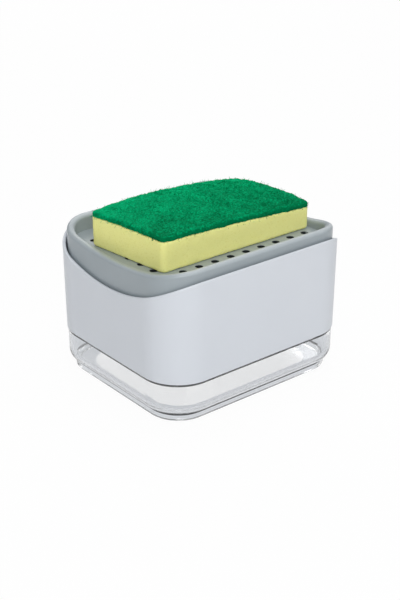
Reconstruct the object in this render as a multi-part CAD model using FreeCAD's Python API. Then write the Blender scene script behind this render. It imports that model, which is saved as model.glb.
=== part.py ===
import FreeCAD, Part
import math
import os

from FreeCAD import Vector

# A caddy for the sink: a clear soap tank, a white shell over it, and a tray that is pressed to pump soap.
# Millimetres. +X is the length, -Y the front, +Z up. The origin is on the table, in the middle of the plan.

# White shell, measured outside at its top edge
SHELL_LENGTH = 140.0
SHELL_WIDTH = 121.0
SHELL_HEIGHT = 61.5
SHELL_CORNER_R = 25.0
SHELL_TAPER = 0.4  # each wall leans in by this much from top to bottom
SHELL_WALL = 2.0
SHELL_DIP = 18.0  # drop of the top edge in the middle of a short side
SHELL_LIP_R = 0.8
LEDGE_WIDTH = 3.0  # inner ledge that carries the deck
LEDGE_HEIGHT = 4.0
LEDGE_CORNER_R = 30.0

# Clear tank
SHOULDER_Z = 26.0  # height at which the shell stands on the tank
SHOULDER_THICK = 2.5
TANK_INSET = 1.0  # tank wall inside the shell's outer face
TANK_WALL = 2.5
TANK_BASE_Z = 3.5
TANK_EDGE_R = 8.0  # rounded lower edge outside
TANK_FLOOR_Z = 6.0
TANK_FLOOR_EDGE_R = 6.0  # rounded lower edge inside
FOOT_INSET = 5.0
FOOT_WIDTH = 3.5
FOOT_RECESS = 2.5
FOOT_EDGE_R = 0.8
NECK_GAP = 0.8  # between the neck and the shell's ledge

# Deck, its seal and its screws
DECK_DROP = 30.0  # from the dish's floor down to the deck, room for the pump's stroke
SEAL_THICK = 1.5
DECK_THICK = 2.5
DECK_GAP = 0.3  # to the shell's inside
SCREW_R = 1.25
SCREW_LENGTH = 5.0
SCREW_HEAD_R = 2.4
SCREW_HEAD_HEIGHT = 1.8
SCREW_SLOT_WIDTH = 0.7
SCREW_SLOT_DEPTH = 0.9
SCREW_GAP = 0.05
SCREW_TIP_GAP = 0.5

# Pump barrel and what clamps it
BARREL_BORE_R = 7.0
BARREL_WALL = 1.3
BARREL_FLOOR = 2.0
FLANGE_OVERLAP = 3.4  # reach of the barrel's flange over the deck's neck
FLANGE_THICK = 1.5
GASKET_THICK = 0.8
DECK_NECK_HEIGHT = 4.0
BARREL_GAP = 0.3  # barrel in the deck's neck
COLLAR_WALL = 2.7
COLLAR_TOP = 1.5
COLLAR_GAP = 0.3
COLLAR_FOOT_GAP = 0.4
GUIDE_DEPTH = 5.3
GUIDE_FLANGE_THICK = 1.0
GUIDE_FLANGE_REACH = 3.0
SEAT_FIT = 0.05  # pushed-in pieces in their seats
RUNNING_FIT = 0.08  # stem in its guide, seal in the barrel

# Inlet: port, ball, cage and dip tube
PORT_R = 1.8
INLET_BALL_R = 2.5
BALL_SEAT_GAP = 0.1
INLET_LIFT = 1.2
CAGE_WALL = 1.0
CAGE_TOP = 1.5
CAGE_STOP_GAP = 0.3
CAGE_HOLE_R = 1.2
CAGE_HOLE_RING_R = 3.6
CAGE_HOLES = 3
SPIGOT_LENGTH = 6.0
SPIGOT_GAP = 3.0  # over the tank's floor
SPIGOT_WALL = 1.6
TUBE_R = 2.6
TUBE_WALL = 0.8
TUBE_END_GAP = 0.8  # over the tank's floor

# Return spring
SPRING_WIRE = 0.9
SPRING_COIL_R = 5.2  # to the wire's middle
SPRING_TURNS = 7
SPRING_SEAT_GAP = 0.05

# Stem, piston and seal
PRESS_TRAVEL = 8.0
STEM_R = 4.0
STEM_BORE_R = 1.8
PISTON_LENGTH = 7.0
PISTON_GAP = 0.3
PISTON_STOP_GAP = 0.3
SEAL_RING_HEIGHT = 2.0
SEAL_RING_DEPTH = 1.2

# Grey tray
TRAY_GAP = 1.0  # to the shell's inside
TRAY_RISE = 5.8  # rim over the shell's top
TRAY_DIP = 7.8  # drop of the rim in the middle of a short side
TRAY_WALL = 2.2
RIM_WIDTH = 5.0
RIM_R = 2.0
DISH_DEPTH = 10.3
PLATE_THICK = 1.5  # perforated floor of the dish
PLATE_GAP = 0.1  # to the skirt around it
SKIRT_CLEAR = 4.0  # over the deck when pressed
HUB_WALL = 3.0
HUB_CLEAR = 0.7  # over the collar when pressed
LEG_R = 3.0
LEG_GAP = 0.3
LEG_CLEAR = 2.0
LEG_GRIP = 4.0  # leg inside its sleeve at rest
SLEEVE_WALL = 1.7
HOLE_R = 2.4
HOLE_COLUMNS = 10
HOLE_ROWS = 7
HOLE_END_MARGIN = 9.35  # from the dish's short walls to the middle of the nearest holes
HOLE_SIDE_MARGIN = 17.4
LEG_COLUMN_SHARE = 3.0  # legs stand between the holes, in pitches from the middle
LEG_ROW_SHARE = 2.5

# Outlet in the middle of the tray
OUTLET_BALL_R = 2.2
OUTLET_LIFT = 0.8
OUTLET_STOP_GAP = 0.2
CHAMBER_GAP = 0.8
OUTLET_R = 6.0
OUTLET_THICK = 1.8
OUTLET_SINK = 0.1  # its top below the dish floor
OUTLET_HOLE_R = 0.8
OUTLET_HOLE_RING_R = 1.9
OUTLET_HOLES = 4

# Sponge: its gaps to the dish's walls, and the foam's height, which falls towards the right end
SPONGE_LEFT_FRONT_GAP = 10.0
SPONGE_LEFT_BACK_GAP = 3.6
SPONGE_RIGHT_FRONT_GAP = 1.1
SPONGE_RIGHT_BACK_GAP = 7.5
SPONGE_FRONT_GAP = 21.5
SPONGE_BACK_GAP = 22.5
FOAM_HEIGHT = 18.2
FOAM_DROP = 4.8
PAD_HEIGHT = 3.5
SPONGE_CORNER_R = 3.0
FOAM_EDGE_R = 1.5
PAD_EDGE_R = 1.2

# Shared by all cuts and searches
OVERRUN = 5.0
TINY = 0.001

# Heights and half sizes that follow from the sizes above
shell_top_z = SHOULDER_Z + SHELL_HEIGHT
rim_z = shell_top_z + TRAY_RISE
dish_z = rim_z - DISH_DEPTH
plate_z = dish_z - PLATE_THICK
deck_top_z = dish_z - DECK_DROP
deck_z = deck_top_z - DECK_THICK
neck_top_z = deck_z - SEAL_THICK
gasket_z = deck_top_z + DECK_NECK_HEIGHT
flange_z = gasket_z + GASKET_THICK
flange_top_z = flange_z + FLANGE_THICK
guide_top_z = flange_top_z + GUIDE_FLANGE_THICK
collar_top_z = guide_top_z + COLLAR_TOP
guide_bottom_z = flange_top_z - GUIDE_DEPTH
piston_top_z = guide_bottom_z - PISTON_STOP_GAP
piston_z = piston_top_z - PISTON_LENGTH
spigot_z = TANK_FLOOR_Z + SPIGOT_GAP
barrel_z = spigot_z + SPIGOT_LENGTH
barrel_floor_z = barrel_z + BARREL_FLOOR
ball_rise = math.sqrt(INLET_BALL_R ** 2 - PORT_R ** 2) + BALL_SEAT_GAP
cage_plate_z = barrel_floor_z + ball_rise + INLET_BALL_R + INLET_LIFT + CAGE_STOP_GAP
cage_top_z = cage_plate_z + CAGE_TOP
barrel_r = BARREL_BORE_R + BARREL_WALL
deck_neck_bore_r = barrel_r + BARREL_GAP
flange_r = deck_neck_bore_r + FLANGE_OVERLAP
skirt_z = deck_top_z + PRESS_TRAVEL + SKIRT_CLEAR
hub_z = collar_top_z + PRESS_TRAVEL + HUB_CLEAR
leg_z = deck_top_z + PRESS_TRAVEL + LEG_CLEAR
sleeve_top_z = leg_z + LEG_GRIP
outlet_top_z = dish_z - OUTLET_SINK
outlet_z = outlet_top_z - OUTLET_THICK
outlet_ball_rise = math.sqrt(OUTLET_BALL_R ** 2 - STEM_BORE_R ** 2) + BALL_SEAT_GAP
stem_top_z = outlet_z - OUTLET_STOP_GAP - OUTLET_LIFT - OUTLET_BALL_R - outlet_ball_rise
hub_r = STEM_R + HUB_WALL
tray_inset = SHELL_WALL + TRAY_GAP
tray_half_x = SHELL_LENGTH / 2 - tray_inset
tray_half_y = SHELL_WIDTH / 2 - tray_inset
tray_corner_r = SHELL_CORNER_R - tray_inset
dish_half_x = tray_half_x - RIM_WIDTH
dish_half_y = tray_half_y - RIM_WIDTH
ledge_inset = SHELL_TAPER + SHELL_WALL + LEDGE_WIDTH
hole_pitch_x = 2 * (dish_half_x - HOLE_END_MARGIN) / (HOLE_COLUMNS - 1)
hole_pitch_y = 2 * (dish_half_y - HOLE_SIDE_MARGIN) / (HOLE_ROWS - 1)
leg_x = LEG_COLUMN_SHARE * hole_pitch_x
leg_y = LEG_ROW_SHARE * hole_pitch_y
foam_left_z = dish_z + FOAM_HEIGHT
foam_right_z = foam_left_z - FOAM_DROP


def outline(half_x, half_y, corner_r, z):
    """Rounded rectangle about the middle of the plan, as a closed wire at height z."""
    flat_x = half_x - corner_r
    flat_y = half_y - corner_r
    reach = corner_r * math.sqrt(0.5)
    edges = []
    for side_x, side_y in ((1, 1), (-1, 1), (-1, -1), (1, -1)):
        on_x = Vector(side_x * half_x, side_y * flat_y, z)
        on_y = Vector(side_x * flat_x, side_y * half_y, z)
        middle = Vector(side_x * (flat_x + reach), side_y * (flat_y + reach), z)
        ends = (on_x, on_y) if side_x == side_y else (on_y, on_x)
        if edges:
            edges.append(Part.LineSegment(last, ends[0]).toShape())
        edges.append(Part.Arc(ends[0], middle, ends[1]).toShape())
        last = ends[1]
    edges.append(Part.LineSegment(last, edges[0].Vertexes[0].Point).toShape())
    return Part.Wire(edges)


def slab(half_x, half_y, corner_r, z_low, z_high):
    """Upright rounded block between two heights."""
    face = Part.Face(outline(half_x, half_y, corner_r, z_low))
    return face.extrude(Vector(0, 0, z_high - z_low))


def inset_slab(inset, z_low, z_high):
    """Block that follows the shell's outer plan at a steady distance inside it."""
    corner_r = SHELL_CORNER_R - inset
    return slab(SHELL_LENGTH / 2 - inset, SHELL_WIDTH / 2 - inset, corner_r, z_low, z_high)


def disc(radius, z_low, z_high, x=0.0, y=0.0):
    """Upright cylinder."""
    return Part.makeCylinder(radius, z_high - z_low, Vector(x, y, z_low))


def ring(outer_r, inner_r, z_low, z_high, x=0.0, y=0.0):
    """Upright tube."""
    return disc(outer_r, z_low, z_high, x, y).cut(disc(inner_r, z_low - OVERRUN, z_high + OVERRUN, x, y))


def joined(first, *others):
    """One solid from pieces that overlap or meet."""
    return first.fuse(list(others)).removeSplitter()


def level_edges(shape, z):
    """Edges that lie flat at height z."""
    return [e for e in shape.Edges if abs(e.BoundBox.ZMin - z) < TINY and abs(e.BoundBox.ZMax - z) < TINY]


def wall_inset(z):
    """How far the tapered shell has come in at height z."""
    return SHELL_TAPER * (shell_top_z - z) / SHELL_HEIGHT


def scoop(half_width, top_z, dip):
    """Everything above an arc that drops by dip in the middle and reaches top_z at half_width."""
    radius = (half_width ** 2 + dip ** 2) / (2 * dip)
    reach_y = half_width + OVERRUN
    end_z = top_z - dip + radius - math.sqrt(radius ** 2 - reach_y ** 2)
    roof_z = end_z + OVERRUN
    start_x = -SHELL_LENGTH / 2 - OVERRUN
    left = Vector(start_x, -reach_y, end_z)
    right = Vector(start_x, reach_y, end_z)
    arc = Part.Arc(left, Vector(start_x, 0, top_z - dip), right).toShape()
    corners = [right, Vector(start_x, reach_y, roof_z), Vector(start_x, -reach_y, roof_z), left]
    wire = Part.Wire([arc] + Part.makePolygon(corners).Edges)
    return Part.Face(wire).extrude(Vector(SHELL_LENGTH + 2 * OVERRUN, 0, 0))


def scooped_edges(shape, half_width, dip):
    """Edges round the curved top face that a scoop leaves."""
    radius = (half_width ** 2 + dip ** 2) / (2 * dip)
    for face in shape.Faces:
        if isinstance(face.Surface, Part.Cylinder) and abs(face.Surface.Radius - radius) < TINY:
            return face.Edges


def make_reservoir():
    body = inset_slab(TANK_INSET, TANK_BASE_Z, SHOULDER_Z)
    body = body.makeFillet(TANK_EDGE_R, level_edges(body, TANK_BASE_Z))
    foot = inset_slab(FOOT_INSET, 0, TANK_BASE_Z + TANK_EDGE_R)
    foot = foot.makeFillet(FOOT_EDGE_R, level_edges(foot, 0))
    neck_inset = ledge_inset + NECK_GAP
    neck_x = SHELL_LENGTH / 2 - neck_inset
    neck_y = SHELL_WIDTH / 2 - neck_inset
    neck_r = LEDGE_CORNER_R - NECK_GAP
    neck = slab(neck_x, neck_y, neck_r, SHOULDER_Z - SHOULDER_THICK, neck_top_z)
    solid = joined(body, foot, neck)
    cavity = inset_slab(TANK_INSET + TANK_WALL, TANK_FLOOR_Z, SHOULDER_Z - SHOULDER_THICK)
    cavity = cavity.makeFillet(TANK_FLOOR_EDGE_R, level_edges(cavity, TANK_FLOOR_Z))
    mouth = slab(neck_x - TANK_WALL, neck_y - TANK_WALL, neck_r - TANK_WALL,
                 SHOULDER_Z - SHOULDER_THICK, neck_top_z + OVERRUN)
    recess = inset_slab(FOOT_INSET + FOOT_WIDTH, -OVERRUN, FOOT_RECESS)
    return solid.cut([cavity, mouth, recess])


def make_tank_seal():
    inset = ledge_inset + NECK_GAP
    half_x = SHELL_LENGTH / 2 - inset
    half_y = SHELL_WIDTH / 2 - inset
    corner_r = LEDGE_CORNER_R - NECK_GAP
    outer = slab(half_x, half_y, corner_r, neck_top_z, deck_z)
    inner = slab(half_x - TANK_WALL, half_y - TANK_WALL, corner_r - TANK_WALL,
                 neck_top_z - OVERRUN, deck_z + OVERRUN)
    return outer.cut(inner)


def screw_places():
    """Middle of the ledge's four wide corners."""
    bend = 1 - math.sqrt(0.5)
    wall = wall_inset(deck_z) + SHELL_WALL
    wall_bend = bend * (SHELL_CORNER_R - wall)
    ledge_bend = bend * LEDGE_CORNER_R
    back = (wall + wall_bend + ledge_inset + ledge_bend) / 2
    x = SHELL_LENGTH / 2 - back
    y = SHELL_WIDTH / 2 - back
    return [(side_x * x, side_y * y) for side_x in (-1, 1) for side_y in (-1, 1)]


def tapered(inset, z_low, z_high):
    """Block with the shell's taper, at a steady distance inside its outer face."""
    wires = []
    for z in (z_low, z_high):
        total = inset + wall_inset(z)
        wires.append(outline(SHELL_LENGTH / 2 - total, SHELL_WIDTH / 2 - total, SHELL_CORNER_R - total, z))
    return Part.makeLoft(wires, True, True)


def make_outer_shell():
    tube = tapered(0, SHOULDER_Z, shell_top_z + OVERRUN)
    inside = tapered(SHELL_WALL, SHOULDER_Z - OVERRUN, shell_top_z + 2 * OVERRUN)
    tube = tube.cut(inside)
    tube = tube.cut(scoop(SHELL_WIDTH / 2, shell_top_z, SHELL_DIP))
    tube = tube.makeFillet(SHELL_LIP_R, scooped_edges(tube, SHELL_WIDTH / 2, SHELL_DIP))
    ledge_low = deck_z - LEDGE_HEIGHT
    ledge = tapered(SHELL_WALL / 2, ledge_low, deck_z)
    hole = slab(SHELL_LENGTH / 2 - ledge_inset, SHELL_WIDTH / 2 - ledge_inset, LEDGE_CORNER_R,
                ledge_low - OVERRUN, deck_z + OVERRUN)
    solid = joined(tube, ledge.cut(hole))
    depth = SCREW_LENGTH - DECK_THICK + SCREW_TIP_GAP
    pilots = [disc(SCREW_R + SCREW_GAP, deck_z - depth, deck_z + OVERRUN, x, y) for x, y in screw_places()]
    return solid.cut(pilots)


def leg_places():
    return [(side_x * leg_x, side_y * leg_y) for side_x in (-1, 1) for side_y in (-1, 1)]


def make_pump_deck():
    plate = inset_slab(wall_inset(deck_z) + SHELL_WALL + DECK_GAP, deck_z, deck_top_z)
    neck = disc(flange_r, deck_z, gasket_z)
    sleeves = [disc(LEG_R + LEG_GAP + SLEEVE_WALL, deck_z, sleeve_top_z, x, y) for x, y in leg_places()]
    solid = joined(plate, neck, *sleeves)
    cuts = [disc(deck_neck_bore_r, deck_z - OVERRUN, gasket_z + OVERRUN)]
    cuts += [disc(LEG_R + LEG_GAP, deck_top_z, sleeve_top_z + OVERRUN, x, y) for x, y in leg_places()]
    screw_hole_r = SCREW_R + SCREW_GAP
    cuts += [disc(screw_hole_r, deck_z - OVERRUN, deck_top_z + OVERRUN, x, y) for x, y in screw_places()]
    return solid.cut(cuts)


def make_screw(x, y):
    shank = disc(SCREW_R, deck_top_z - SCREW_LENGTH, deck_top_z + TINY, x, y)
    head_top_z = deck_top_z + SCREW_HEAD_HEIGHT
    head = disc(SCREW_HEAD_R, deck_top_z, head_top_z, x, y)
    head = head.makeFillet(SCREW_HEAD_HEIGHT / 2, level_edges(head, head_top_z))
    screw = joined(head, shank)
    slot_z = head_top_z - SCREW_SLOT_DEPTH
    slot_length = SCREW_HEAD_R
    for size_x, size_y in ((slot_length, SCREW_SLOT_WIDTH), (SCREW_SLOT_WIDTH, slot_length)):
        corner = Vector(x - size_x / 2, y - size_y / 2, slot_z)
        screw = screw.cut(Part.makeBox(size_x, size_y, SCREW_HEAD_HEIGHT, corner))
    return screw


def make_pump_cylinder():
    barrel = disc(barrel_r, barrel_z, flange_top_z)
    flange = disc(flange_r, flange_z, flange_top_z)
    tube_seat_r = TUBE_R + SEAT_FIT
    spigot = disc(tube_seat_r + SPIGOT_WALL, spigot_z, barrel_z + TINY)
    solid = joined(barrel, flange, spigot)
    bore = disc(BARREL_BORE_R, barrel_floor_z, flange_top_z + OVERRUN)
    port = disc(PORT_R, barrel_z - OVERRUN, barrel_floor_z + TINY)
    seat = disc(tube_seat_r, spigot_z - OVERRUN, barrel_z)
    return solid.cut([bore, port, seat])


def make_collar_gasket():
    return ring(flange_r, deck_neck_bore_r, gasket_z, flange_z)


def make_pump_collar():
    inner_r = flange_r + COLLAR_GAP
    cap = disc(inner_r + COLLAR_WALL, deck_top_z + COLLAR_FOOT_GAP, collar_top_z)
    hollow = disc(inner_r, deck_top_z, guide_top_z)
    hole = disc(STEM_R + COLLAR_GAP, guide_top_z - OVERRUN, collar_top_z + OVERRUN)
    return cap.cut([hollow, hole])


def make_stem_guide():
    sleeve = disc(BARREL_BORE_R - SEAT_FIT, guide_bottom_z, guide_top_z)
    flange = disc(BARREL_BORE_R + GUIDE_FLANGE_REACH, flange_top_z, guide_top_z)
    bore = disc(STEM_R + RUNNING_FIT, guide_bottom_z - OVERRUN, guide_top_z + OVERRUN)
    return joined(sleeve, flange).cut(bore)


def make_dip_tube():
    return ring(TUBE_R, TUBE_R - TUBE_WALL, TANK_FLOOR_Z + TUBE_END_GAP, barrel_z)


def make_ball(radius, z):
    return Part.makeSphere(radius, Vector(0, 0, z))


def make_ball_cage():
    cage_r = BARREL_BORE_R - SEAT_FIT
    skirt = ring(cage_r, cage_r - CAGE_WALL, barrel_floor_z, cage_plate_z + TINY)
    cage = joined(disc(cage_r, cage_plate_z, cage_top_z), skirt)
    for index in range(CAGE_HOLES):
        turn = 2 * math.pi * index / CAGE_HOLES
        x = CAGE_HOLE_RING_R * math.cos(turn)
        y = CAGE_HOLE_RING_R * math.sin(turn)
        cage = cage.cut(disc(CAGE_HOLE_R, cage_plate_z - OVERRUN, cage_top_z + OVERRUN, x, y))
    return cage


def arc_from(start, tangent, end):
    """Arc that leaves start along tangent and reaches end."""
    chord = end - start
    length = chord.Length
    along = chord * (1 / length)
    off = tangent - along * tangent.dot(along)
    side = off * (1 / off.Length)
    half_turn = tangent.getAngle(along)
    middle = (start + end) * 0.5 + side * (length / 2 * math.tan(half_turn / 2))
    return Part.Arc(start, middle, end).toShape()


def biarc(start, start_tangent, end, end_tangent):
    """Two arcs that join two points with the given directions."""
    span = end - start
    both = start_tangent + end_tangent
    a = 4 - both.dot(both)
    b = 2 * span.dot(both)
    reach = (-b + math.sqrt(b * b + 4 * a * span.dot(span))) / (2 * a)
    first = start + start_tangent * reach
    second = end - end_tangent * reach
    middle = (first + second) * 0.5
    middle_tangent = (second - first) * (1 / (second - first).Length)
    return [arc_from(start, start_tangent, middle), arc_from(middle, middle_tangent, end)]


def make_return_spring():
    wire_r = SPRING_WIRE / 2
    low_z = cage_top_z + SPRING_SEAT_GAP + wire_r
    high_z = piston_z - SPRING_SEAT_GAP - wire_r
    climb = (high_z - low_z) / (2 * math.pi * SPRING_TURNS)

    def point(turn):
        x = SPRING_COIL_R * math.cos(turn)
        y = SPRING_COIL_R * math.sin(turn)
        return Vector(x, y, low_z + climb * turn)

    def tangent(turn):
        along = Vector(-SPRING_COIL_R * math.sin(turn), SPRING_COIL_R * math.cos(turn), climb)
        return along * (1 / along.Length)

    quarters = 4 * SPRING_TURNS
    turns = [2 * math.pi * SPRING_TURNS * i / quarters for i in range(quarters + 1)]
    edges = []
    for here, there in zip(turns, turns[1:]):
        edges += biarc(point(here), tangent(here), point(there), tangent(there))
    path = Part.Wire(edges)
    section = Part.Wire([Part.makeCircle(wire_r, point(turns[0]), tangent(turns[0]))])
    spring = path.makePipeShell([section], True, False)
    points = [edge.valueAt(edge.FirstParameter) for edge in edges]
    apart = len(edges) // SPRING_TURNS
    gap = min((a - b).Length for i, a in enumerate(points) for b in points[i + apart // 2:]) - SPRING_WIRE
    print("return spring: volume %.2f, section times length %.2f, least gap %.2f mm"
          % (spring.Volume, math.pi * wire_r ** 2 * path.Length, gap))
    return spring


def seal_groove():
    """Heights of the groove half way up the piston, and its inner radius."""
    low = piston_z + (PISTON_LENGTH - SEAL_RING_HEIGHT) / 2
    return low, low + SEAL_RING_HEIGHT, BARREL_BORE_R - PISTON_GAP - SEAL_RING_DEPTH


def make_piston():
    low, high, inner_r = seal_groove()
    piston_r = BARREL_BORE_R - PISTON_GAP
    body = ring(piston_r, STEM_R + SEAT_FIT, piston_z, piston_top_z)
    return body.cut(ring(piston_r + OVERRUN, inner_r, low, high))


def make_piston_seal():
    low, high, inner_r = seal_groove()
    return ring(BARREL_BORE_R - RUNNING_FIT, inner_r, low, high)


def make_pump_stem():
    return ring(STEM_R, STEM_BORE_R, piston_z, stem_top_z)


def hole_places():
    """Grid of drain holes, without those that would meet the hub or a leg."""
    places = []
    for column in range(HOLE_COLUMNS):
        for row in range(HOLE_ROWS):
            x = (column - (HOLE_COLUMNS - 1) / 2) * hole_pitch_x
            y = (row - (HOLE_ROWS - 1) / 2) * hole_pitch_y
            posts = [(0, 0, hub_r)] + [(px, py, LEG_R) for px, py in leg_places()]
            if all(math.hypot(x - px, y - py) > r + HOLE_R for px, py, r in posts):
                places.append((x, y))
    return places


def make_press_tray():
    block = slab(tray_half_x, tray_half_y, tray_corner_r, skirt_z, rim_z + OVERRUN)
    dish = slab(dish_half_x, dish_half_y, tray_corner_r - RIM_WIDTH, dish_z - OVERRUN, rim_z + 2 * OVERRUN)
    tray = block.cut(dish).cut(scoop(tray_half_y, rim_z, TRAY_DIP))
    tray = tray.makeFillet(RIM_R, scooped_edges(tray, tray_half_y, TRAY_DIP))
    below = slab(tray_half_x - TRAY_WALL, tray_half_y - TRAY_WALL, tray_corner_r - TRAY_WALL,
                 skirt_z - OVERRUN, dish_z)
    return tray.cut(below)


def make_drain_plate():
    inset = TRAY_WALL + PLATE_GAP
    plate = slab(tray_half_x - inset, tray_half_y - inset, tray_corner_r - inset, plate_z, dish_z)
    hub = disc(hub_r, hub_z, dish_z)
    legs = [disc(LEG_R, leg_z, dish_z, x, y) for x, y in leg_places()]
    plate = joined(plate, hub, *legs)
    cuts = [disc(HOLE_R, plate_z - OVERRUN, dish_z + OVERRUN, x, y) for x, y in hole_places()]
    cuts.append(disc(STEM_R + SEAT_FIT, hub_z - OVERRUN, stem_top_z))
    cuts.append(disc(OUTLET_BALL_R + CHAMBER_GAP, stem_top_z - TINY, outlet_z))
    cuts.append(disc(OUTLET_R + SEAT_FIT, outlet_z - TINY, dish_z + OVERRUN))
    return plate.cut(cuts)


def make_soap_outlet():
    plate = disc(OUTLET_R, outlet_z, outlet_top_z)
    cuts = []
    for index in range(OUTLET_HOLES):
        turn = 2 * math.pi * index / OUTLET_HOLES
        x = OUTLET_HOLE_RING_R * math.cos(turn)
        y = OUTLET_HOLE_RING_R * math.sin(turn)
        cuts.append(disc(OUTLET_HOLE_R, outlet_z - OVERRUN, outlet_top_z + OVERRUN, x, y))
    return plate.cut(cuts)


def sponge_layer(low_left, low_right, high_left, high_right):
    """Layer of the sponge between two planes, given by their heights over the dish's left and right wall."""
    corners = [
        Vector(-dish_half_x + SPONGE_LEFT_FRONT_GAP, -dish_half_y + SPONGE_FRONT_GAP, dish_z),
        Vector(dish_half_x - SPONGE_RIGHT_FRONT_GAP, -dish_half_y + SPONGE_FRONT_GAP, dish_z),
        Vector(dish_half_x - SPONGE_RIGHT_BACK_GAP, dish_half_y - SPONGE_BACK_GAP, dish_z),
        Vector(-dish_half_x + SPONGE_LEFT_BACK_GAP, dish_half_y - SPONGE_BACK_GAP, dish_z),
    ]
    plan = Part.Face(Part.makePolygon(corners + corners[:1]))
    block = plan.extrude(Vector(0, 0, high_left - dish_z))
    upright = [e for e in block.Edges if abs(e.tangentAt(e.FirstParameter).z) > 0.5]
    block = block.makeFillet(SPONGE_CORNER_R, upright)
    heights = ((-1, low_left), (1, low_right), (1, high_right), (-1, high_left))
    profile = [Vector(side * dish_half_x, -dish_half_y, z) for side, z in heights]
    wedge = Part.Face(Part.makePolygon(profile + profile[:1])).extrude(Vector(0, 2 * dish_half_y, 0))
    return block.common(wedge)


def make_sponge_foam():
    foam = sponge_layer(dish_z, dish_z, foam_left_z, foam_right_z)
    return foam.makeFillet(FOAM_EDGE_R, level_edges(foam, dish_z))


def make_scouring_pad():
    pad = sponge_layer(foam_left_z, foam_right_z, foam_left_z + PAD_HEIGHT, foam_right_z + PAD_HEIGHT)
    top = max(pad.Faces, key=lambda face: face.CenterOfMass.z)
    return pad.makeFillet(PAD_EDGE_R, top.Edges)


parts = {
    "reservoir": make_reservoir(),
    "outer_shell": make_outer_shell(),
    "pump_deck": make_pump_deck(),
    "deck_screws": Part.makeCompound([make_screw(x, y) for x, y in screw_places()]),
    "tank_seal": make_tank_seal(),
    "pump_cylinder": make_pump_cylinder(),
    "collar_gasket": make_collar_gasket(),
    "pump_collar": make_pump_collar(),
    "stem_guide": make_stem_guide(),
    "dip_tube": make_dip_tube(),
    "inlet_ball": make_ball(INLET_BALL_R, barrel_floor_z + ball_rise),
    "ball_cage": make_ball_cage(),
    "return_spring": make_return_spring(),
    "piston": make_piston(),
    "piston_seal": make_piston_seal(),
    "pump_stem": make_pump_stem(),
    "outlet_ball": make_ball(OUTLET_BALL_R, stem_top_z + outlet_ball_rise),
    "press_tray": make_press_tray(),
    "drain_plate": make_drain_plate(),
    "soap_outlet": make_soap_outlet(),
    "sponge_foam": make_sponge_foam(),
    "scouring_pad": make_scouring_pad(),
}

os.makedirs("parts", exist_ok=True)
for name, shape in parts.items():
    shape.exportStep("parts/" + name + ".step")
    box = shape.BoundBox
    print("%-15s solids %d valid %s volume %9.1f  z %6.2f to %6.2f"
          % (name, len(shape.Solids), shape.isValid(), shape.Volume, box.ZMin, box.ZMax))
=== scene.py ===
# %% [markdown]
# # A soap pump caddy for the sink
# A clear tank holds the soap, a white shell stands on it, and a grey tray inside the shell is pressed
# down to pump soap up into the sponge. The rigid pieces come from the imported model, where each node is
# already in its place in metres. This lesson gives them their finishes, models the soft sponge, and sets
# up a small photo studio.

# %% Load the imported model
import math
import random

import bpy
from mathutils import Matrix, Vector


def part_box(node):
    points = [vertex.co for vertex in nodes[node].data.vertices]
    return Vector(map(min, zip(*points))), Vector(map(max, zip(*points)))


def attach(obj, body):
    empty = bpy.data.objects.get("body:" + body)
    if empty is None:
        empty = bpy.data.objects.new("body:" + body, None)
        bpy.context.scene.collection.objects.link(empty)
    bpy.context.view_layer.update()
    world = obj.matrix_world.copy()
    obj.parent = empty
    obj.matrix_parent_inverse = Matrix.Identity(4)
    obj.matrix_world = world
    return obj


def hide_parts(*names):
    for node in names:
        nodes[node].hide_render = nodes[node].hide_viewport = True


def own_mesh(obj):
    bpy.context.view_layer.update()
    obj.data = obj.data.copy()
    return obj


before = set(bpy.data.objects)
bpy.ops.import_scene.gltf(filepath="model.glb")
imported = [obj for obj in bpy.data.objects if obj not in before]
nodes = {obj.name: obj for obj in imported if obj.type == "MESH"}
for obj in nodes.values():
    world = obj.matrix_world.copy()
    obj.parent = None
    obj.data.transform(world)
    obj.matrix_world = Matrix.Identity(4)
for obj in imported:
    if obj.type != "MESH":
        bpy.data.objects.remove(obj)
bpy.context.view_layer.update()

# %% [markdown]
# ## Camera
# The picture was taken from the front left and from above, with a long lens. A camera needs a place, a
# point to look at and a focal length. The turn that makes it look at the point comes from to_track_quat,
# which is shorter than working out three angles by hand.

# %% Camera
CAMERA_PLACE = Vector((-0.41087, -0.50306, 0.34179))
LOOK_AT = Vector((0.0, 0.0, 0.04106))
FOCAL_MM = 69.94
SENSOR_MM = 36.0

lens = bpy.data.cameras.new("camera")
lens.lens = FOCAL_MM
lens.sensor_width = SENSOR_MM
camera = bpy.data.objects.new("camera", lens)
camera.location = CAMERA_PLACE
camera.rotation_euler = (LOOK_AT - CAMERA_PLACE).to_track_quat("-Z", "Y").to_euler()
bpy.context.scene.collection.objects.link(camera)
bpy.context.scene.camera = camera
bpy.context.scene.view_settings.view_transform = "Standard"
print("camera distance in m:", round((LOOK_AT - CAMERA_PLACE).length, 3))

# %% [markdown]
# ## Studio
# A catalogue picture stands on white with hardly any shadow. The floor and the world are plain white for
# the rays that the camera sees, also in and through shiny and clear pieces, and the world is dim for the
# rays that light the object. So the background is white without more light on the object. The floor
# mixes a little real diffuse white into its white, which keeps a faint shadow under the tank.

# %% World and floor
AMBIENT = 0.3
FLOOR_HALF = 3.0
FLOOR_GAP = 0.0003  # a hair under the foot, so that the clear foot and the floor don't share a face
FLOOR_GLOW_SHARE = 0.96
ROOM_LIGHT = (0.97, 0.985, 1.0, 1.0)
WHITE_PAPER = (1.0, 1.0, 1.0, 1.0)
MATT_PAPER = (0.92, 0.92, 0.92, 1.0)


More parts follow.
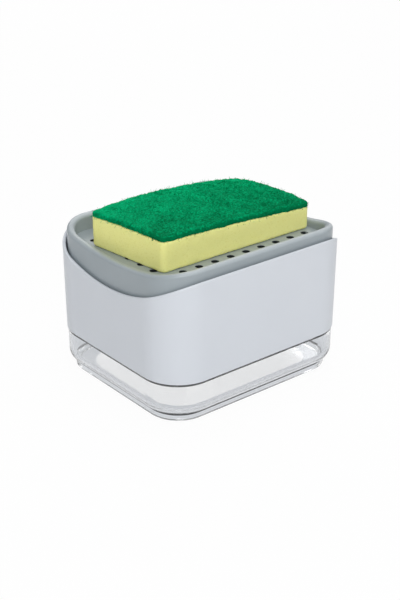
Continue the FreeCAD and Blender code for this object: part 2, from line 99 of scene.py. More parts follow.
def seen_rays(tree):
    """1 for camera, glossy and transmission rays, 0 for the rays that light the object."""
    path = tree.nodes.new("ShaderNodeLightPath")
    total = path.outputs["Is Camera Ray"]
    for ray in ("Is Glossy Ray", "Is Transmission Ray"):
        larger = tree.nodes.new("ShaderNodeMath")
        larger.operation = "MAXIMUM"
        tree.links.new(total, larger.inputs[0])
        tree.links.new(path.outputs[ray], larger.inputs[1])
        total = larger.outputs[0]
    return total


world = bpy.data.worlds.new("studio")
bpy.context.scene.world = world
world.use_nodes = True
tree = world.node_tree
lit = tree.nodes["Background"]
lit.inputs["Color"].default_value = ROOM_LIGHT
lit.inputs["Strength"].default_value = AMBIENT
white = tree.nodes.new("ShaderNodeBackground")
white.inputs["Color"].default_value = WHITE_PAPER
choose = tree.nodes.new("ShaderNodeMixShader")
tree.links.new(seen_rays(tree), choose.inputs[0])
tree.links.new(lit.outputs[0], choose.inputs[1])
tree.links.new(white.outputs[0], choose.inputs[2])
tree.links.new(choose.outputs[0], tree.nodes["World Output"].inputs["Surface"])

bpy.ops.object.select_all(action="DESELECT")
bpy.ops.mesh.primitive_plane_add(size=2 * FLOOR_HALF, location=(0, 0, -FLOOR_GAP))
floor = bpy.context.object
floor.name = "floor"
paper = bpy.data.materials.new("floor_paper")
paper.use_nodes = True
tree = paper.node_tree
tree.nodes.remove(tree.nodes["Principled BSDF"])
matt = tree.nodes.new("ShaderNodeBsdfDiffuse")
matt.inputs["Color"].default_value = MATT_PAPER
glow = tree.nodes.new("ShaderNodeEmission")
share = tree.nodes.new("ShaderNodeMath")
share.operation = "MULTIPLY"
share.inputs[1].default_value = FLOOR_GLOW_SHARE
mix = tree.nodes.new("ShaderNodeMixShader")
tree.links.new(seen_rays(tree), share.inputs[0])
tree.links.new(share.outputs[0], mix.inputs[0])
tree.links.new(matt.outputs[0], mix.inputs[1])
tree.links.new(glow.outputs[0], mix.inputs[2])
tree.links.new(mix.outputs[0], tree.nodes["Material Output"].inputs["Surface"])
floor.data.materials.append(paper)
print("floor side in m:", 2 * FLOOR_HALF)

# %% [markdown]
# ## Lamps
# The rounded front left corner of the shell is brightest, the front face comes next, the left end last,
# and the shadows have no edges. A large soft lamp in front and to the left gives that, a second one
# overhead lifts the top faces, and a weaker one behind draws light along the tray's rim.
# Area lamps are the plain way to a softbox; a spot lamp would draw hard edges.

# %% Lamps


def softbox(name, place, size, power):
    """Square area lamp that looks at the object."""
    lamp = bpy.data.lights.new(name, "AREA")
    lamp.shape = "SQUARE"
    lamp.size = size
    lamp.energy = power
    box = bpy.data.objects.new(name, lamp)
    box.location = place
    box.rotation_euler = (LOOK_AT - Vector(place)).to_track_quat("-Z", "Y").to_euler()
    bpy.context.scene.collection.objects.link(box)
    return box


softbox("front_softbox", (-0.84, -1.3, 0.95), 1.0, 15.5)
softbox("top_softbox", (0.2, -0.1, 1.7), 1.4, 10.0)
softbox("back_softbox", (0.8, 1.3, 0.9), 1.0, 6.0)

# %% [markdown]
# ## Grey cards
# Clear plastic on white has no edges to see. A photographer stands grey cards beside and behind it: the
# rounded edges bend the view sideways, meet a card, and get their grey lines. The cards are hidden from the
# camera, give no shadow and don't colour matt pieces; only what is seen in or through shiny and clear
# surfaces meets them. A flat grey frame under the foot is painted shade: seen through the thick lower edge,
# it stands in for the shade on the floor around the foot, and it is hidden from reflections too.

# %% Grey cards
CARD_GREY = (0.16, 0.17, 0.18, 1.0)
# Painted shade: the grey of the frame under the foot, seen only through the clear tank.
FOOT_SHADE_GREY = (0.62, 0.64, 0.67, 1.0)
RING_OUT = 0.03  # reach of the frame under the foot, outside and inside the tank's plan
RING_IN = 0.014
RING_CORNER = 0.018
RING_CORNER_STEPS = 6


def hide_from_all_but_clear(card, grey):
    """Leaves a card visible only in and through shiny and clear surfaces, in a plain grey."""
    card.visible_camera = False
    card.visible_diffuse = False
    card.visible_shadow = False
    finish = bpy.data.materials.new(card.name)
    finish.use_nodes = True
    tree = finish.node_tree
    tree.nodes.remove(tree.nodes["Principled BSDF"])
    paint = tree.nodes.new("ShaderNodeEmission")
    paint.inputs["Color"].default_value = grey
    tree.links.new(paint.outputs[0], tree.nodes["Material Output"].inputs["Surface"])
    card.data.materials.append(finish)


def grey_card(name, place, size):
    """Upright card that faces the object."""
    bpy.ops.object.select_all(action="DESELECT")
    bpy.ops.mesh.primitive_plane_add(size=1.0, location=place)
    card = bpy.context.object
    card.name = name
    card.scale = (size[0], size[1], 1.0)
    inwards = Vector((0.0, 0.0, place[2])) - Vector(place)
    card.rotation_euler = inwards.to_track_quat("Z", "Y").to_euler()
    hide_from_all_but_clear(card, CARD_GREY)


grey_card("card_left", (-0.7, 0.35, 0.2), (0.5, 0.4))
grey_card("card_right", (0.75, -0.25, 0.2), (0.5, 0.4))
grey_card("card_back", (0.35, 0.8, 0.25), (0.8, 0.5))

tank_low, tank_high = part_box("reservoir")
bpy.ops.object.select_all(action="DESELECT")
# Painted shade: a grey frame under the foot, seen only through the clear tank.
bpy.ops.mesh.primitive_plane_add(size=1.0, location=(0.0, 0.0, -FLOOR_GAP / 2))
foot_shade_frame = bpy.context.object
foot_shade_frame.name = "painted_shade_under_foot"
tank_size = tank_high - tank_low
foot_shade_frame.scale = (tank_size.x + 2 * RING_OUT, tank_size.y + 2 * RING_OUT, 1.0)
bpy.ops.object.transform_apply(location=True, rotation=True, scale=True)
bpy.ops.object.mode_set(mode="EDIT")
bpy.ops.mesh.select_all(action="SELECT")
bpy.ops.mesh.inset(thickness=RING_OUT + RING_IN)
bpy.ops.mesh.bevel(offset=RING_CORNER, segments=RING_CORNER_STEPS, affect="VERTICES")
bpy.ops.mesh.select_mode(type="FACE")
bpy.ops.mesh.select_all(action="DESELECT")
bpy.ops.object.mode_set(mode="OBJECT")
most = max(len(face.vertices) for face in foot_shade_frame.data.polygons)
for face in foot_shade_frame.data.polygons:
    face.select = len(face.vertices) == most
bpy.ops.object.mode_set(mode="EDIT")
bpy.ops.mesh.delete(type="FACE")
bpy.ops.object.mode_set(mode="OBJECT")
hide_from_all_but_clear(foot_shade_frame, FOOT_SHADE_GREY)
foot_shade_frame.visible_glossy = False
print("cards: 4")

# %% [markdown]
# ## Helpers for the finishes
# Every finish here is a Principled shader with patterns on Object coordinates, which are the metres of
# the model itself. A noise of scale 1000 therefore has grains of about a millimetre, whatever piece it is
# on. Small helpers keep each finish down to a few lines.

# %% Helpers for the finishes
NOISE_LOW = 0.3  # nearly all values of a soft noise lie between these
NOISE_HIGH = 0.7


def new_finish(name, values):
    """Material with plain shader values, and with it its node tree, shader and Object coordinates."""
    material = bpy.data.materials.new(name)
    material.use_nodes = True
    tree = material.node_tree
    shader = tree.nodes["Principled BSDF"]
    for socket, value in values.items():
        shader.inputs[socket].default_value = value
    place = tree.nodes.new("ShaderNodeTexCoord").outputs["Object"]
    return material, tree, shader, place


def grain(tree, place, scale, detail=2.0, stretch=None):
    """Soft noise from 0 to 1; stretch squeezes it along an axis into streaks."""
    if stretch:
        mapping = tree.nodes.new("ShaderNodeMapping")
        mapping.inputs["Scale"].default_value = stretch
        tree.links.new(place, mapping.inputs["Vector"])
        place = mapping.outputs["Vector"]
    noise = tree.nodes.new("ShaderNodeTexNoise")
    noise.inputs["Scale"].default_value = scale
    noise.inputs["Detail"].default_value = detail
    tree.links.new(place, noise.inputs["Vector"])
    return noise.outputs["Fac"]


def cells(tree, place, scale):
    """Distance to the nearest of scattered points: small round cells."""
    voronoi = tree.nodes.new("ShaderNodeTexVoronoi")
    voronoi.inputs["Scale"].default_value = scale
    tree.links.new(place, voronoi.inputs["Vector"])
    return voronoi.outputs["Distance"]


def spread(tree, value, low, high, to_low, to_high):
    """Maps a pattern's values from low..high to to_low..to_high, and holds them there."""
    ranger = tree.nodes.new("ShaderNodeMapRange")
    sockets = ("From Min", "From Max", "To Min", "To Max")
    for socket, number in zip(sockets, (low, high, to_low, to_high)):
        ranger.inputs[socket].default_value = number
    tree.links.new(value, ranger.inputs["Value"])
    return ranger.outputs["Result"]


def vary(tree, noise, low, high):
    """A noise that goes from low to high."""
    return spread(tree, noise, NOISE_LOW, NOISE_HIGH, low, high)


def calculate(tree, operation, first, second):
    """Math node on two patterns, or on a pattern and a number."""
    node = tree.nodes.new("ShaderNodeMath")
    node.operation = operation
    for value, socket in zip((first, second), node.inputs):
        if isinstance(value, (int, float)):
            socket.default_value = value
        else:
            tree.links.new(value, socket)
    return node.outputs[0]


def tint(tree, pattern, first, second):
    """Colour that goes from first to second with the pattern."""
    mixer = tree.nodes.new("ShaderNodeMix")
    mixer.data_type = "RGBA"
    for socket, colour in zip((s for s in mixer.inputs if s.type == "RGBA"), (first, second)):
        if isinstance(colour, tuple):
            socket.default_value = colour + (1.0,)
        else:
            tree.links.new(colour, socket)
    tree.links.new(pattern, mixer.inputs[0])
    return next(s for s in mixer.outputs if s.type == "RGBA")


def axes(tree, vector):
    """The X, Y and Z of a vector as three patterns."""
    apart = tree.nodes.new("ShaderNodeSeparateXYZ")
    tree.links.new(vector, apart.inputs[0])
    return apart.outputs


def relief(tree, shader, height, strength, depth):
    """Bump of the given depth in metres."""
    bump = tree.nodes.new("ShaderNodeBump")
    bump.inputs["Strength"].default_value = strength
    bump.inputs["Distance"].default_value = depth
    tree.links.new(height, bump.inputs["Height"])
    tree.links.new(bump.outputs["Normal"], shader.inputs["Normal"])


def dress(material, *names):
    """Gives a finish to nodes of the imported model."""
    for name in names:
        for slot in nodes[name].material_slots:
            slot.material = material
    print(material.name, "on", ", ".join(names))


# %% [markdown]
# ## White shell
# The shell is moulded from a white plastic with a cool tone and a satin gloss. Real mouldings are never
# quite even: the gloss drifts over centimetres, and the steel mould leaves a very fine skin. Two noises do
# that, one wide for the gloss and the tone, one fine for the skin.

# %% White plastic
WHITE = (0.68, 0.71, 0.755)
WHITE_SHADE = (0.66, 0.69, 0.74)

white_plastic, tree, shader, place = new_finish("white_plastic", {"IOR": 1.5})
drift = grain(tree, place, 28.0)
skin = grain(tree, place, 2600.0)
tree.links.new(tint(tree, drift, WHITE, WHITE_SHADE), shader.inputs["Base Color"])
satin = calculate(tree, "ADD", vary(tree, drift, 0.3, 0.38), vary(tree, skin, 0.0, 0.04))
tree.links.new(satin, shader.inputs["Roughness"])
relief(tree, shader, skin, 0.25, 0.00003)
dress(white_plastic, "outer_shell", "pump_collar")

# %% [markdown]
# ## Grey tray
# The tray and its floor are a grey plastic, about as matt as the shell. The wide noise changes the tone a
# little, and a finer one gives the moulded grain. The rim's top is set a little paler as a painted
# highlight, to match the photograph. The grey plastic below the perforated floor and inside its plan is set
# dark as painted shade, so that the holes look deep.

# %% Grey plastic
GREY = (0.35, 0.395, 0.42)
GREY_SHADE = (0.325, 0.37, 0.395)
# Painted highlight: the rim's top is set to this paler grey, fading in over a thin band below the tray's
# top.
GREY_RIM_HIGHLIGHT = (0.47, 0.515, 0.54)
# Painted shade: the grey plastic below the perforated floor is set to this near-black, seen through the
# holes.
HOLE_PAINTED_SHADE = (0.03, 0.034, 0.036)
RIM_HIGHLIGHT_BAND = 0.002  # the paler tone fades in over this height
PLATE_MARGIN = 0.01  # the dark tone ends this far inside the plate's edge
HOLE_SHADE_DEPTH = 0.0002  # it starts this far below the plate's top, and fades in over the same length

plate_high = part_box("drain_plate")[1]
plate_top = plate_high.z
tray_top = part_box("press_tray")[1].z

grey_plastic, tree, shader, place = new_finish("grey_plastic", {"IOR": 1.5})
drift = grain(tree, place, 45.0)
skin = grain(tree, place, 1900.0)
position = axes(tree, place)
# Painted shade: dark below the plate's top and inside its plan, so that the holes look deep.
under = spread(tree, position["Z"], plate_top - 2 * HOLE_SHADE_DEPTH, plate_top - HOLE_SHADE_DEPTH, 1.0, 0.0)
for axis, reach in (("X", plate_high.x - PLATE_MARGIN), ("Y", plate_high.y - PLATE_MARGIN)):
    off_middle = calculate(tree, "ABSOLUTE", position[axis], 0.0)
    inside = spread(tree, off_middle, reach, reach + HOLE_SHADE_DEPTH, 1.0, 0.0)
    under = calculate(tree, "MULTIPLY", under, inside)
# Painted highlight on the rim's top.
rim_highlight = spread(tree, position["Z"], tray_top - RIM_HIGHLIGHT_BAND, tray_top, 0.0, 1.0)
tone = tint(tree, rim_highlight, tint(tree, drift, GREY, GREY_SHADE), GREY_RIM_HIGHLIGHT)
tree.links.new(tint(tree, under, tone, HOLE_PAINTED_SHADE), shader.inputs["Base Color"])
tree.links.new(vary(tree, drift, 0.28, 0.38), shader.inputs["Roughness"])
relief(tree, shader, skin, 0.35, 0.00004)
dress(grey_plastic, "press_tray", "drain_plate", "soap_outlet", "pump_deck")

# %% [markdown]
# ## Clear tank
# The tank is a clear moulded plastic. The node is a real hollow body with a wall, a rounded inner floor
# and a foot ring, so a shader that lets nearly all light through bends it at both faces of a wall, as the
# real wall does, and draws the grey lines at the edges. The faint waviness of a moulding goes into the
# roughness and a bump.

# %% Clear plastic
CLEAR = (0.99, 0.995, 1.0)
CLEAR_SHADE = (0.98, 0.985, 0.99)

clear_values = {"Transmission Weight": 0.985, "IOR": 1.49}
clear_plastic, tree, shader, place = new_finish("clear_plastic", clear_values)
waves = grain(tree, place, 55.0)
tree.links.new(tint(tree, waves, CLEAR, CLEAR_SHADE), shader.inputs["Base Color"])
tree.links.new(vary(tree, waves, 0.05, 0.09), shader.inputs["Roughness"])
relief(tree, shader, waves, 0.15, 0.0002)
dress(clear_plastic, "reservoir")

# %% [markdown]
# ## Pump pieces
# The pump sits inside and shows only when the shell is lifted off. Its barrel, stem and cage are natural
# plastic, milky and soft in gloss; the seals are matt rubber; the balls, the spring and the screws are
# bright steel with fine drawn lines.

# %% Pump plastic, rubber and steel
MILKY = (0.78, 0.78, 0.74)
MILKY_SHADE = (0.72, 0.72, 0.67)
MILKY_DEPTH = (0.002, 0.002, 0.0016)  # how far light of each colour goes in
RUBBER = (0.026, 0.026, 0.028)
RUBBER_DUST = (0.05, 0.05, 0.052)
STEEL = (0.66, 0.66, 0.68)
STEEL_SHADE = (0.56, 0.56, 0.58)

pump_plastic, tree, shader, place = new_finish("pump_plastic", {"Subsurface Weight": 0.25, "IOR": 1.5})
shader.inputs["Subsurface Radius"].default_value = MILKY_DEPTH
flow = grain(tree, place, 160.0, stretch=(1.0, 1.0, 0.25))
tree.links.new(tint(tree, flow, MILKY, MILKY_SHADE), shader.inputs["Base Color"])
tree.links.new(vary(tree, flow, 0.36, 0.5), shader.inputs["Roughness"])
relief(tree, shader, grain(tree, place, 2200.0), 0.3, 0.00004)
dress(pump_plastic, "pump_cylinder", "stem_guide", "dip_tube", "ball_cage", "piston", "pump_stem")

seal_rubber, tree, shader, place = new_finish("seal_rubber", {"IOR": 1.52})
dust = grain(tree, place, 900.0, 4.0)
tree.links.new(tint(tree, dust, RUBBER, RUBBER_DUST), shader.inputs["Base Color"])
tree.links.new(vary(tree, dust, 0.62, 0.8), shader.inputs["Roughness"])
relief(tree, shader, dust, 0.4, 0.00006)
dress(seal_rubber, "tank_seal", "collar_gasket", "piston_seal")

steel, tree, shader, place = new_finish("steel", {"Metallic": 1.0})
lines = grain(tree, place, 1500.0, 3.0, stretch=(1.0, 1.0, 0.15))
tree.links.new(tint(tree, lines, STEEL, STEEL_SHADE), shader.inputs["Base Color"])
tree.links.new(vary(tree, lines, 0.16, 0.3), shader.inputs["Roughness"])
relief(tree, shader, lines, 0.2, 0.00003)
dress(steel, "deck_screws", "inlet_ball", "outlet_ball", "return_spring")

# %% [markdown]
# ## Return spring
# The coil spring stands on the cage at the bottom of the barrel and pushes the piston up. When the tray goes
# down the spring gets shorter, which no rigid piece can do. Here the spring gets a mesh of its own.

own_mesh(nodes["return_spring"])

# %% [markdown]
# ## Sponge foam
# The sponge is a soft block of yellow foam, cut from a larger block. As in the photograph, it leans a little
# and is lower at its right end. Its sides are open-pored and its edges soft. A cube is set on the node's
# box, its ends are slid and its top is tilted in edit mode to the node's own corners, and its edges are
# bevelled. A voxel Remesh then gives it an even fine mesh, and Displace modifiers press in the pores and
# let the sides wander. Pores smaller than the mesh can hold come from the finish.

# %% Helpers for the sponge


def select_points(block, keep):
    """Selects the points for which keep(place) is true, ready for edit mode."""
    bpy.ops.object.mode_set(mode="EDIT")
    bpy.ops.mesh.select_mode(type="VERT")
    bpy.ops.mesh.select_all(action="DESELECT")
    bpy.ops.object.mode_set(mode="OBJECT")
    for point in block.data.vertices:
        point.select = keep(point.co)
    bpy.ops.object.mode_set(mode="EDIT")


def sponge_block(node, name):
    """Cube on a node's box, slid and tilted so that it leans as the sponge does."""
    low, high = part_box(node)
    bpy.ops.object.select_all(action="DESELECT")
    middle = (low + high) / 2
    bpy.ops.mesh.primitive_cube_add(size=1.0, location=middle)
    block = bpy.context.object
    block.name = name
    block.data.name = name
    block.scale = high - low
    bpy.ops.object.transform_apply(location=True, rotation=True, scale=True)
    moves = [
        (lambda p: p.x < middle.x and p.y < middle.y, (SPONGE_LEAN, 0.0, 0.0)),
        (lambda p: p.x > middle.x and p.y > middle.y, (-SPONGE_LEAN, 0.0, 0.0)),
        (lambda p: p.x > middle.x and p.z > middle.z, (0.0, 0.0, -SPONGE_DROP)),
    ]
    if node == "scouring_pad":
        moves.append((lambda p: p.x < middle.x and p.z < middle.z, (0.0, 0.0, SPONGE_DROP)))
    for keep, shift in moves:
        select_points(block, keep)
        bpy.ops.transform.translate(value=shift)
        bpy.ops.object.mode_set(mode="OBJECT")
    return block


def bevel_edges(block, keep, width, segments=3):
    """Bevels the edges for which keep(middle, direction) is true."""
    bpy.ops.object.mode_set(mode="EDIT")
    bpy.ops.mesh.select_mode(type="EDGE")
    bpy.ops.mesh.select_all(action="DESELECT")
    bpy.ops.object.mode_set(mode="OBJECT")
    points = block.data.vertices
    for edge in block.data.edges:
        a, b = (points[i].co for i in edge.vertices)
        edge.select = keep((a + b) / 2, (b - a).normalized())
    bpy.ops.object.mode_set(mode="EDIT")
    bpy.ops.mesh.bevel(offset=width, segments=segments, profile=0.5)
    bpy.ops.object.mode_set(mode="OBJECT")


def apply_modifiers(block):
    """Makes the result of all the block's modifiers its own mesh."""
    bpy.context.view_layer.objects.active = block
    for modifier in list(block.modifiers):
        bpy.ops.object.modifier_apply(modifier=modifier.name)


def remesh(block, cell):
    """Even mesh of small squares over the whole block."""
    even = block.modifiers.new("even_mesh", "REMESH")
    even.mode = "VOXEL"
    even.voxel_size = cell
    even.use_smooth_shade = True
    apply_modifiers(block)


def press(block, kind, size, depth, middle):
    """Moves the surface in and out by a procedural pattern of the given grain size."""
    pattern = bpy.data.textures.new(block.name + "_" + kind.lower(), kind)
    pattern.noise_scale = size
    push = block.modifiers.new("press", "DISPLACE")
    push.texture = pattern
    push.texture_coords = "LOCAL"
    push.strength = depth
    push.mid_level = middle
    apply_modifiers(block)


# %% Foam block
SPONGE_LEAN = 0.0064
SPONGE_DROP = 0.0045
SPONGE_CORNER_R = 0.003
SPONGE_EDGE_R = 0.0014
CORNER_STEPS = 4
UPRIGHT = 0.9  # an edge whose direction has more Z than this stands up
LEVEL = 0.2  # and one with less lies down
EDGE_SLACK = 1e-5
FOAM_CELL = 0.0006

foam_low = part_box("sponge_foam")[0]
foam = sponge_block("sponge_foam", "yellow_foam_block")
bevel_edges(foam, lambda middle, along: abs(along.z) > UPRIGHT, SPONGE_CORNER_R, CORNER_STEPS)
bevel_edges(
    foam, lambda middle, along: abs(along.z) < LEVEL and middle.z < foam_low.z + EDGE_SLACK, SPONGE_EDGE_R
)
remesh(foam, FOAM_CELL)
press(foam, "CLOUDS", 0.012, 0.0006, 0.6)
press(foam, "VORONOI", 0.0016, 0.00015, 0.6)
print("foam triangles:", 2 * len(foam.data.polygons))

# %% [markdown]
# ## Foam finish
# Foam is full of round pores of different sizes. Three cell patterns of different scale are multiplied, deep
# at the middle of each pore, and there the colour is darkened as painted shade; a soft noise adds blotches
# of tone. Light also goes a little way into foam, so the shader has some subsurface scattering.

# %% Foam finish
YELLOW = (0.97, 0.945, 0.36)
# Painted shade: the pore colour sets the middle of each pore darker.
YELLOW_PORE_SHADE = (0.9, 0.86, 0.29)
FOAM_DEPTH = (0.0025, 0.0022, 0.0008)  # how far light of each colour goes in

foam_values = {"Roughness": 0.9, "Subsurface Weight": 0.15}
yellow_foam, tree, shader, place = new_finish("yellow_foam", foam_values)
shader.inputs["Subsurface Radius"].default_value = FOAM_DEPTH
shader.inputs["Specular IOR Level"].default_value = 0.2
large = spread(tree, cells(tree, place, 520.0), 0.05, 0.45, 0.0, 1.0)
medium = spread(tree, cells(tree, place, 1100.0), 0.05, 0.5, 0.0, 1.0)
fine = spread(tree, cells(tree, place, 2300.0), 0.05, 0.5, 0.0, 1.0)
walls = calculate(tree, "MULTIPLY", large, medium)
walls = calculate(tree, "MULTIPLY", walls, calculate(tree, "ADD", fine, 0.4))
blotch = grain(tree, place, 120.0, 3.0)
# Painted shade in the pores, plus blotches of tone from a noise.
soft = calculate(tree, "ADD", walls, vary(tree, blotch, 0.1, 0.35))
tree.links.new(tint(tree, soft, YELLOW_PORE_SHADE, YELLOW), shader.inputs["Base Color"])
relief(tree, shader, walls, 0.25, 0.0003)
foam.data.materials.append(yellow_foam)
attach(foam, "sponge")
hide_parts("sponge_foam")

# %% [markdown]
# ## Scouring pad
# The pad is a loose web of stiff green fibres, glued flat on the foam. Its body is a slab with an uneven
# skin, made as the foam is. What makes it look like a web are single fibres that lie on it and stand out
# at its edges. One fibre is modelled in three bends, and a few thousand copies are strewn with a fixed
# seed, so that each run gives the same pad.

# %% Pad body
PAD_CELL = 0.0007
TOP_SLACK = 1e-4

pad_low, pad_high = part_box("scouring_pad")


def pad_top(x):
    """Height of the pad's sloping top face."""
    return pad_high.z - SPONGE_DROP * (x - pad_low.x) / (pad_high.x - pad_low.x)


pad = sponge_block("scouring_pad", "green_pad_body")
bevel_edges(pad, lambda middle, along: abs(along.z) > UPRIGHT, SPONGE_CORNER_R, CORNER_STEPS)
bevel_edges(
    pad,
    lambda middle, along: abs(along.z) < LEVEL and middle.z > pad_top(middle.x) - TOP_SLACK,
    SPONGE_EDGE_R,
)
remesh(pad, PAD_CELL)
press(pad, "CLOUDS", 0.0045, 0.0009, 0.62)
press(pad, "CLOUDS", 0.0012, 0.0008, 0.6)
print("pad triangles:", 2 * len(pad.data.polygons))

# %% One fibre, in three bends
FIBRE_LENGTH = 0.0065
FIBRE_R = 0.00008
FIBRE_SIDES = 3
FIBRE_CUTS = 5
FIBRE_BENDS = (40.0, 90.0, 150.0)  # degrees


def bent_fibre(name, turn_degrees):
    """Thin three-sided rod along X, bent sideways."""
    bpy.ops.object.select_all(action="DESELECT")
    bpy.ops.mesh.primitive_cylinder_add(
        vertices=FIBRE_SIDES, radius=FIBRE_R, depth=FIBRE_LENGTH, end_fill_type="NOTHING"
    )
    rod = bpy.context.object
    rod.name = name
    rod.rotation_euler = (0.0, math.pi / 2, 0.0)
    bpy.ops.object.transform_apply(location=True, rotation=True, scale=True)
    bpy.ops.object.mode_set(mode="EDIT")
    bpy.ops.mesh.select_mode(type="EDGE")
    bpy.ops.mesh.select_all(action="DESELECT")
    bpy.ops.object.mode_set(mode="OBJECT")
    for edge in rod.data.edges:
        a, b = (rod.data.vertices[i].co for i in edge.vertices)
        edge.select = abs(a.x - b.x) > FIBRE_LENGTH / 2
    bpy.ops.object.mode_set(mode="EDIT")
    bpy.ops.mesh.subdivide(number_cuts=FIBRE_CUTS)
    bpy.ops.object.mode_set(mode="OBJECT")
    bend = rod.modifiers.new("bend", "SIMPLE_DEFORM")
    bend.deform_method = "BEND"
    bend.deform_axis = "Z"
    bend.angle = math.radians(turn_degrees)
    apply_modifiers(rod)
    print(name, "faces:", len(rod.data.polygons))
    return rod


fibre_kinds = [bent_fibre("fibre_%d" % i, turn) for i, turn in enumerate(FIBRE_BENDS)]

# %% Strew the fibres
FIBRES_ON_TOP = 2100
FIBRES_AT_EDGE = 1500
EDGE_SINK = 0.0011  # how far inside the pad's side a fibre's middle lies
FIBRE_SINK = 0.0003
SEED = 11
TOP_PITCH_SPREAD = 0.07  # radians
EDGE_YAW_SPREAD = 0.2
EDGE_PITCH_SPREAD = 0.12

chance = random.Random(SEED)
strewn = []


def strew(place, yaw, pitch):
    """One more copy of a fibre, with a mesh of its own."""
    kind = chance.choice(fibre_kinds)
    copy = kind.copy()
    copy.data = kind.data.copy()
    roll = Matrix.Rotation(chance.uniform(0, 2 * math.pi), 4, "X")
    turn = Matrix.Rotation(yaw, 4, "Z") @ Matrix.Rotation(pitch, 4, "Y") @ roll
    copy.data.transform(Matrix.Translation(place) @ turn)
    bpy.context.scene.collection.objects.link(copy)
    strewn.append(copy)


def on_pad(u, v):
    """Point of the pad's leaning plan; u goes from 0 to 1 along its length, v from front to back."""
    left = pad_low.x + SPONGE_LEAN * (1 - v)
    x = left + u * (pad_high.x - pad_low.x - SPONGE_LEAN)
    return x, pad_low.y + v * (pad_high.y - pad_low.y)


slope = math.atan(SPONGE_DROP / (pad_high.x - pad_low.x))
for _ in range(FIBRES_ON_TOP):
    x, y = on_pad(chance.uniform(0.03, 0.97), chance.uniform(0.05, 0.95))
    spot = Vector((x, y, pad_top(x) - FIBRE_SINK))
    strew(spot, chance.uniform(0, 2 * math.pi), chance.gauss(slope, TOP_PITCH_SPREAD))
end_yaw = math.pi / 2 + math.atan(SPONGE_LEAN / (pad_high.y - pad_low.y))
sides = [(0.0, 1, 0.0), (0.0, -1, 1.0), (end_yaw, 1, 0.0), (end_yaw, -1, 1.0)]
lengths = [pad_high.x - pad_low.x] * 2 + [pad_high.y - pad_low.y] * 2
pad_thick = pad_high.z - SPONGE_DROP - pad_low.z
for _ in range(FIBRES_AT_EDGE):
    yaw, inward, end = chance.choices(sides, lengths)[0]
    along = chance.uniform(0.035, 0.965)
    x, y = on_pad(along, end) if yaw == 0.0 else on_pad(end, along)
    if yaw == 0.0:
        y += inward * EDGE_SINK
    else:
        x += inward * EDGE_SINK
    z = pad_top(x) - chance.uniform(0.2, 1.1) * pad_thick
    strew(Vector((x, y, z)), yaw + chance.gauss(0, EDGE_YAW_SPREAD), chance.gauss(0, EDGE_PITCH_SPREAD))
for kind in fibre_kinds:
    bpy.data.objects.remove(kind)
bpy.ops.object.select_all(action="DESELECT")
for copy in strewn:
    copy.select_set(True)
bpy.context.view_layer.objects.active = strewn[0]
bpy.ops.object.join()
fibres = bpy.context.object
fibres.name = "green_pad_fibres"
fibres.data.name = fibres.name
print("fibres:", len(strewn), "triangles:", 2 * len(fibres.data.polygons))

# %% [markdown]
# ## Crown
# In the photograph the sponge's top is a shallow dome, higher towards the back. A lattice around the whole
# sponge does that in one go: its lower points stay, its upper points are raised in the middle, and the
# foam, the pad and the fibres follow it together, so they stay in touch.

# %% Crown
CROWN_FRONT = 0.0012  # rise of the front, back, left and right top edges at their middles
CROWN_BACK = 0.0042
CROWN_LEFT = 0.0008
CROWN_RIGHT = 0.003
CAGE_POINTS = 7

cage_data = bpy.data.lattices.new("crown_cage")
cage_data.points_u = cage_data.points_v = CAGE_POINTS
cage_data.points_w = 2
cage_data.interpolation_type_u = cage_data.interpolation_type_v = "KEY_CARDINAL"
cage_data.interpolation_type_w = "KEY_LINEAR"
cage = bpy.data.objects.new("crown_cage", cage_data)
cage.location = (foam_low + pad_high) / 2
cells_across = CAGE_POINTS - 1  # the points of a lattice stand one unit apart
cage.scale = [(pad_high[i] - foam_low[i]) / (cells_across, cells_across, 1)[i] for i in range(3)]
bpy.context.scene.collection.objects.link(cage)
for point in cage_data.points:
    u, v = point.co.x / cells_across + 0.5, point.co.y / cells_across + 0.5
    rise = (CROWN_FRONT * (1 - v) + CROWN_BACK * v) * 4 * u * (1 - u)
    rise += (CROWN_LEFT * (1 - u) + CROWN_RIGHT * u) * 4 * v * (1 - v)
    if point.co.z > 0:
        point.co_deform.z += rise / cage.scale.z
bpy.context.view_layer.update()
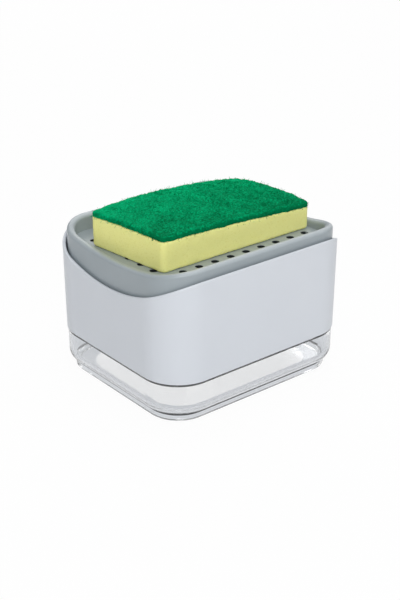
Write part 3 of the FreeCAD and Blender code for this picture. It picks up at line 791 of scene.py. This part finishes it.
for piece in (foam, pad, fibres):
    piece.modifiers.new("crown", "LATTICE").object = cage
    apply_modifiers(piece)
bpy.data.objects.remove(cage)
print("sponge top in mm:", round(1000 * max(p.co.z for p in pad.data.vertices), 1))

# %% [markdown]
# ## Pad finish
# The fibres are dyed a deep green. Where they lie dense the pad is dark, and where they stand up it is
# lighter, so the colour follows two noises, one as fine as the web and one over centimetres. It is set paler
# towards the back, and darker on the cut sides as painted shade, to match the photograph. How far each point
# of the pad looks sideways is kept in an attribute of its mesh.

# %% Pad finish
GREEN = (0.001, 0.5, 0.2)
GREEN_DEEP = (0.0005, 0.17, 0.06)
# Painted shade: faces that look sideways are set darker by this much.
SIDE_PAINTED_SHADE = -0.4
FRONT_DARKER = -0.35
BACK_PALER = 0.2

sideways = pad.data.attributes.new("sideways", "FLOAT", "POINT")
for point, value in zip(pad.data.vertices, sideways.data):
    value.value = max(0.0, min(1.0, 1.0 - abs(point.normal.z)))

green_fibre, tree, shader, place = new_finish("green_fibre", {"Roughness": 0.75})
shader.inputs["Specular IOR Level"].default_value = 0.01
web = grain(tree, place, 900.0, 5.0)
patch = grain(tree, place, 90.0, 3.0)
fuzz = spread(tree, web, 0.35, 0.65, 0.0, 0.75)
density_and_side_shade = calculate(tree, "ADD", fuzz, vary(tree, patch, 0.0, 0.35))
back = spread(tree, axes(tree, place)["Y"], pad_low.y, pad_high.y, FRONT_DARKER, BACK_PALER)
side = tree.nodes.new("ShaderNodeAttribute")
side.attribute_name = sideways.name
# Painted shade on the cut sides, from how far each point looks sideways.
painted_side_shade = spread(tree, side.outputs["Fac"], 0.3, 0.9, 0.0, SIDE_PAINTED_SHADE)
density_and_side_shade = calculate(tree, "ADD", density_and_side_shade, calculate(tree, "ADD", back, painted_side_shade))
tree.links.new(tint(tree, density_and_side_shade, GREEN_DEEP, GREEN), shader.inputs["Base Color"])
relief(tree, shader, web, 0.8, 0.0006)
for piece in (pad, fibres):
    piece.data.materials.clear()
    piece.data.materials.append(green_fibre)
    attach(piece, "sponge")
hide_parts("scouring_pad")

bpy.context.view_layer.update()
